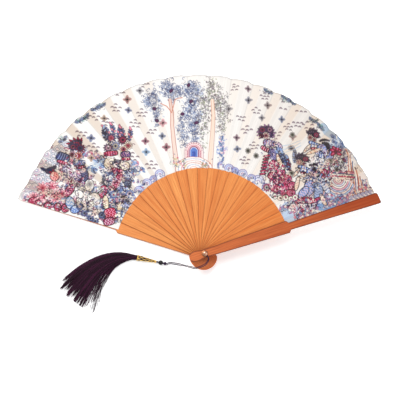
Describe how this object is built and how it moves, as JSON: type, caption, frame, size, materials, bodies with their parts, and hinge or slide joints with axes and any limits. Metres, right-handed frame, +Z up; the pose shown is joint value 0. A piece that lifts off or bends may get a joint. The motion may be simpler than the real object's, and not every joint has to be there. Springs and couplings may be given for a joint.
{
  "type": "folding hand fan",
  "caption": "Open folding fan: flat wooden blades pivoting on one rivet, pleated printed cloth leaf, and a corded tassel hanging from the pivot.",
  "frame": {"origin": "pivot axis, on the underside of the rivet's foot", "axes": "fan open and lying flat: +X towards the front guard's side, +Y through the middle of the leaf, +Z up through the rivet's domed head"},
  "size_m": [0.4028, 0.2635, 0.0294],
  "materials": {
    "guard_wood": "reddish brown sandalwood, fine grain, satin",
    "stick_wood": "orange tan sandalwood, fine grain, satin",
    "leaf_cloth": "off-white pleated cloth with a printed garden pattern",
    "rivet_metal": "polished domed rivet, warm steel",
    "washer_metal": "thin brass washer",
    "cord_thread": "twisted dark purple cord",
    "bead_black": "glossy black bead",
    "cap_gold": "gold openwork cap over dark thread",
    "skirt_thread": "loose dark aubergine silky threads"
  },
  "bodies": {
    "base": {"rear_guard": "guard_wood", "leaf_gore_00": "leaf_cloth", "rivet": "rivet_metal", "rivet_washer": "washer_metal"},
    "stick_01_body": {"stick_01": "stick_wood", "leaf_gore_01": "leaf_cloth"},
    "stick_02_body": {"stick_02": "stick_wood", "leaf_gore_02": "leaf_cloth"},
    "stick_03_body": {"stick_03": "stick_wood", "leaf_gore_03": "leaf_cloth"},
    "stick_04_body": {"stick_04": "stick_wood", "leaf_gore_04": "leaf_cloth"},
    "stick_05_body": {"stick_05": "stick_wood", "leaf_gore_05": "leaf_cloth"},
    "stick_06_body": {"stick_06": "stick_wood", "leaf_gore_06": "leaf_cloth"},
    "stick_07_body": {"stick_07": "stick_wood", "leaf_gore_07": "leaf_cloth"},
    "stick_08_body": {"stick_08": "stick_wood", "leaf_gore_08": "leaf_cloth"},
    "stick_09_body": {"stick_09": "stick_wood", "leaf_gore_09": "leaf_cloth"},
    "stick_10_body": {"stick_10": "stick_wood", "leaf_gore_10": "leaf_cloth"},
    "stick_11_body": {"stick_11": "stick_wood", "leaf_gore_11": "leaf_cloth"},
    "stick_12_body": {"stick_12": "stick_wood", "leaf_gore_12": "leaf_cloth"},
    "stick_13_body": {"stick_13": "stick_wood", "leaf_gore_13": "leaf_cloth"},
    "stick_14_body": {"stick_14": "stick_wood", "leaf_gore_14": "leaf_cloth"},
    "stick_15_body": {"stick_15": "stick_wood", "leaf_gore_15": "leaf_cloth"},
    "stick_16_body": {"stick_16": "stick_wood", "leaf_gore_16": "leaf_cloth"},
    "stick_17_body": {"stick_17": "stick_wood", "leaf_gore_17": "leaf_cloth"},
    "stick_18_body": {"stick_18": "stick_wood", "leaf_gore_18": "leaf_cloth"},
    "stick_19_body": {"stick_19": "stick_wood", "leaf_gore_19": "leaf_cloth"},
    "front_guard_body": {"front_guard": "guard_wood", "leaf_gore_20": "leaf_cloth"},
    "tassel": {"cord_strand_a": "cord_thread", "cord_strand_b": "cord_thread", "cord_knot": "cord_thread", "tassel_bead": "bead_black", "tassel_cap": "cap_gold", "tassel_skirt": "skirt_thread"}
  },
  "joints": [
    {"name": "fold_01", "type": "hinge", "parent": "base", "child": "stick_01_body", "pos_m": [0, 0, 0], "axis": [0, 0, 1], "range_deg": [0, 7.2]},
    {"name": "fold_02", "type": "hinge", "parent": "stick_01_body", "child": "stick_02_body", "pos_m": [0, 0, 0], "axis": [0, 0, 1], "range_deg": [0, 7.2]},
    {"name": "fold_03", "type": "hinge", "parent": "stick_02_body", "child": "stick_03_body", "pos_m": [0, 0, 0], "axis": [0, 0, 1], "range_deg": [0, 7.2]},
    {"name": "fold_04", "type": "hinge", "parent": "stick_03_body", "child": "stick_04_body", "pos_m": [0, 0, 0], "axis": [0, 0, 1], "range_deg": [0, 7.2]},
    {"name": "fold_05", "type": "hinge", "parent": "stick_04_body", "child": "stick_05_body", "pos_m": [0, 0, 0], "axis": [0, 0, 1], "range_deg": [0, 7.2]},
    {"name": "fold_06", "type": "hinge", "parent": "stick_05_body", "child": "stick_06_body", "pos_m": [0, 0, 0], "axis": [0, 0, 1], "range_deg": [0, 7.2]},
    {"name": "fold_07", "type": "hinge", "parent": "stick_06_body", "child": "stick_07_body", "pos_m": [0, 0, 0], "axis": [0, 0, 1], "range_deg": [0, 7.2]},
    {"name": "fold_08", "type": "hinge", "parent": "stick_07_body", "child": "stick_08_body", "pos_m": [0, 0, 0], "axis": [0, 0, 1], "range_deg": [0, 7.2]},
    {"name": "fold_09", "type": "hinge", "parent": "stick_08_body", "child": "stick_09_body", "pos_m": [0, 0, 0], "axis": [0, 0, 1], "range_deg": [0, 7.2]},
    {"name": "fold_10", "type": "hinge", "parent": "stick_09_body", "child": "stick_10_body", "pos_m": [0, 0, 0], "axis": [0, 0, 1], "range_deg": [0, 7.2]},
    {"name": "fold_11", "type": "hinge", "parent": "stick_10_body", "child": "stick_11_body", "pos_m": [0, 0, 0], "axis": [0, 0, 1], "range_deg": [0, 7.2]},
    {"name": "fold_12", "type": "hinge", "parent": "stick_11_body", "child": "stick_12_body", "pos_m": [0, 0, 0], "axis": [0, 0, 1], "range_deg": [0, 7.2]},
    {"name": "fold_13", "type": "hinge", "parent": "stick_12_body", "child": "stick_13_body", "pos_m": [0, 0, 0], "axis": [0, 0, 1], "range_deg": [0, 7.2]},
    {"name": "fold_14", "type": "hinge", "parent": "stick_13_body", "child": "stick_14_body", "pos_m": [0, 0, 0], "axis": [0, 0, 1], "range_deg": [0, 7.2]},
    {"name": "fold_15", "type": "hinge", "parent": "stick_14_body", "child": "stick_15_body", "pos_m": [0, 0, 0], "axis": [0, 0, 1], "range_deg": [0, 7.2]},
    {"name": "fold_16", "type": "hinge", "parent": "stick_15_body", "child": "stick_16_body", "pos_m": [0, 0, 0], "axis": [0, 0, 1], "range_deg": [0, 7.2]},
    {"name": "fold_17", "type": "hinge", "parent": "stick_16_body", "child": "stick_17_body", "pos_m": [0, 0, 0], "axis": [0, 0, 1], "range_deg": [0, 7.2]},
    {"name": "fold_18", "type": "hinge", "parent": "stick_17_body", "child": "stick_18_body", "pos_m": [0, 0, 0], "axis": [0, 0, 1], "range_deg": [0, 7.2]},
    {"name": "fold_19", "type": "hinge", "parent": "stick_18_body", "child": "stick_19_body", "pos_m": [0, 0, 0], "axis": [0, 0, 1], "range_deg": [0, 7.2]},
    {"name": "fold_20", "type": "hinge", "parent": "stick_19_body", "child": "front_guard_body", "pos_m": [0, 0, 0], "axis": [0, 0, 1], "range_deg": [0, 7.2]},
    {"name": "tassel_swing", "type": "hinge", "parent": "base", "child": "tassel", "pos_m": [0, 0, 0], "axis": [0, 0, 1], "range_deg": [-8, 100]}
  ],
  "couplings": [
    {"joint": "fold_02", "follows": "fold_01", "ratio": 1},
    {"joint": "fold_03", "follows": "fold_01", "ratio": 1},
    {"joint": "fold_04", "follows": "fold_01", "ratio": 1},
    {"joint": "fold_05", "follows": "fold_01", "ratio": 1},
    {"joint": "fold_06", "follows": "fold_01", "ratio": 1},
    {"joint": "fold_07", "follows": "fold_01", "ratio": 1},
    {"joint": "fold_08", "follows": "fold_01", "ratio": 1},
    {"joint": "fold_09", "follows": "fold_01", "ratio": 1},
    {"joint": "fold_10", "follows": "fold_01", "ratio": 1},
    {"joint": "fold_11", "follows": "fold_01", "ratio": 1},
    {"joint": "fold_12", "follows": "fold_01", "ratio": 1},
    {"joint": "fold_13", "follows": "fold_01", "ratio": 1},
    {"joint": "fold_14", "follows": "fold_01", "ratio": 1},
    {"joint": "fold_15", "follows": "fold_01", "ratio": 1},
    {"joint": "fold_16", "follows": "fold_01", "ratio": 1},
    {"joint": "fold_17", "follows": "fold_01", "ratio": 1},
    {"joint": "fold_18", "follows": "fold_01", "ratio": 1},
    {"joint": "fold_19", "follows": "fold_01", "ratio": 1},
    {"joint": "fold_20", "follows": "fold_01", "ratio": 1}
  ]
}
